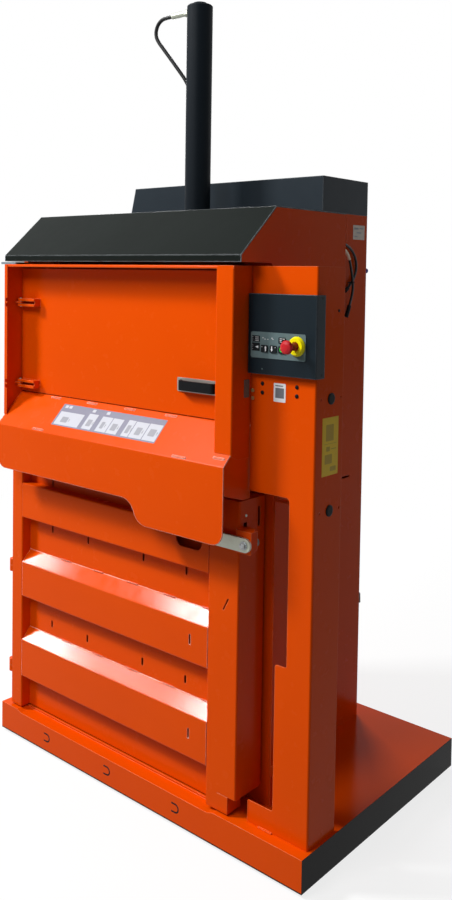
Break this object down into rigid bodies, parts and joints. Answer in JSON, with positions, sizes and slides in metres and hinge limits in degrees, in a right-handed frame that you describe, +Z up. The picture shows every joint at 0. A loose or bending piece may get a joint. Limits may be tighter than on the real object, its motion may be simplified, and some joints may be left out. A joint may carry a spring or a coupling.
{
  "type": "vertical recycling baler",
  "caption": "Upright baling press with a ribbed swing door, an inner loading door above a sloping shelf, a ram in a tall cylinder and a control column.",
  "frame": {"origin": "on the floor, under the middle of the base deck", "axes": "+X to the machine's right as its front is faced, +Y to its back, +Z up"},
  "size_m": [1.2505, 0.872, 2.421],
  "materials": {
    "orange_paint": "semi-gloss",
    "deck_paint": "gloss",
    "dark_paint": "satin",
    "cover_black": "satin",
    "box_black": "satin",
    "cylinder_black": "semi-gloss",
    "zinc": "satin",
    "rod_chrome": "polished",
    "hose_rubber": "satin",
    "black_plastic": "matt",
    "keypad_grey": "matt",
    "key_plastic": "satin",
    "yellow_plastic": "satin",
    "red_plastic": "satin",
    "motor_cast": "satin",
    "valve_steel": "satin",
    "grey_hook": "satin"
  },
  "bodies": {
    "machine": {"base_deck": "deck_paint", "base_rails": "dark_paint", "chamber_floor": "orange_paint", "chamber_left_wall": "orange_paint", "chamber_right_wall": "orange_paint", "chamber_back_wall": "orange_paint", "front_posts": "orange_paint", "side_plate_left": "orange_paint", "side_plate_right": "orange_paint", "hood": "dark_paint", "rear_cover": "cover_black", "press_head": "orange_paint", "cylinder_tube": "cylinder_black", "cylinder_gland": "cylinder_black", "power_unit_tray": "dark_paint", "oil_tank": "dark_paint", "pump_motor": "motor_cast", "valve_block": "valve_steel", "hose_fittings": "zinc", "pressure_hose": "hose_rubber", "hinge_leaves": "orange_paint", "hinge_pins": "zinc", "latch_keeper": "orange_paint", "column": "orange_paint", "column_braces": "orange_paint", "column_plugs": "black_plastic", "interlock_bolts": "zinc", "control_box": "box_black", "keypad_plate": "keypad_grey", "stop_collar": "yellow_plastic", "cable_grommet": "black_plastic", "service_cables": "hose_rubber", "cable_plugs": "black_plastic", "rear_hook": "grey_hook"},
    "bale_door": {"door_panel": "orange_paint", "door_left_stile": "orange_paint", "door_right_stile": "orange_paint", "door_rib_top": "orange_paint", "door_rib_middle": "orange_paint", "door_rib_bottom": "orange_paint", "top_hinge_plate": "zinc", "portal_frame": "orange_paint", "work_shelf": "orange_paint", "shelf_cheeks": "orange_paint", "latch_bracket": "orange_paint", "loading_hinge_pins": "zinc"},
    "loading_door": {"loading_panel": "orange_paint", "handle_plate": "zinc", "door_handle": "black_plastic"},
    "latch_arm": {"latch_bar": "zinc", "latch_bolt": "zinc", "latch_hook": "zinc"},
    "ram": {"piston_rod": "rod_chrome", "platen": "orange_paint"},
    "stop_slider": {"stop_stem": "red_plastic"},
    "stop_head": {"stop_button": "red_plastic"},
    "up_key": {"up_key": "key_plastic"},
    "down_key": {"down_key": "key_plastic"},
    "start_key": {"start_key": "key_plastic"},
    "reset_key": {"reset_key": "key_plastic"}
  },
  "joints": [
    {"name": "bale_door_swing", "type": "hinge", "parent": "machine", "child": "bale_door", "pos_m": [-0.601, -0.375, 0.4], "axis": [0, 0, -1], "range_deg": [0, 105]},
    {"name": "loading_door_swing", "type": "hinge", "parent": "bale_door", "child": "loading_door", "pos_m": [-0.545, -0.394, 1.3], "axis": [0, 0, -1], "range_deg": [0, 95]},
    {"name": "latch_turn", "type": "hinge", "parent": "bale_door", "child": "latch_arm", "pos_m": [0.426, -0.383, 0.85], "axis": [0, 1, 0], "range_deg": [-6, 25]},
    {"name": "ram_slide", "type": "slide", "parent": "machine", "child": "ram", "axis": [0, 0, -1], "range_m": [0, 0.65]},
    {"name": "stop_push", "type": "slide", "parent": "machine", "child": "stop_slider", "axis": [0, 1, 0], "range_m": [0, 0.005]},
    {"name": "stop_twist", "type": "hinge", "parent": "stop_slider", "child": "stop_head", "pos_m": [0.568, -0.41, 1.375], "axis": [0, 1, 0], "range_deg": [0, 30], "stiffness_Nm_per_rad": 0.02},
    {"name": "up_key_press", "type": "slide", "parent": "machine", "child": "up_key", "axis": [0, 1, 0], "range_m": [0, 0.0012], "stiffness_N_per_m": 300},
    {"name": "down_key_press", "type": "slide", "parent": "machine", "child": "down_key", "axis": [0, 1, 0], "range_m": [0, 0.0012], "stiffness_N_per_m": 300},
    {"name": "start_key_press", "type": "slide", "parent": "machine", "child": "start_key", "axis": [0, 1, 0], "range_m": [0, 0.0012], "stiffness_N_per_m": 300},
    {"name": "reset_key_press", "type": "slide", "parent": "machine", "child": "reset_key", "axis": [0, 1, 0], "range_m": [0, 0.0012], "stiffness_N_per_m": 300}
  ]
}
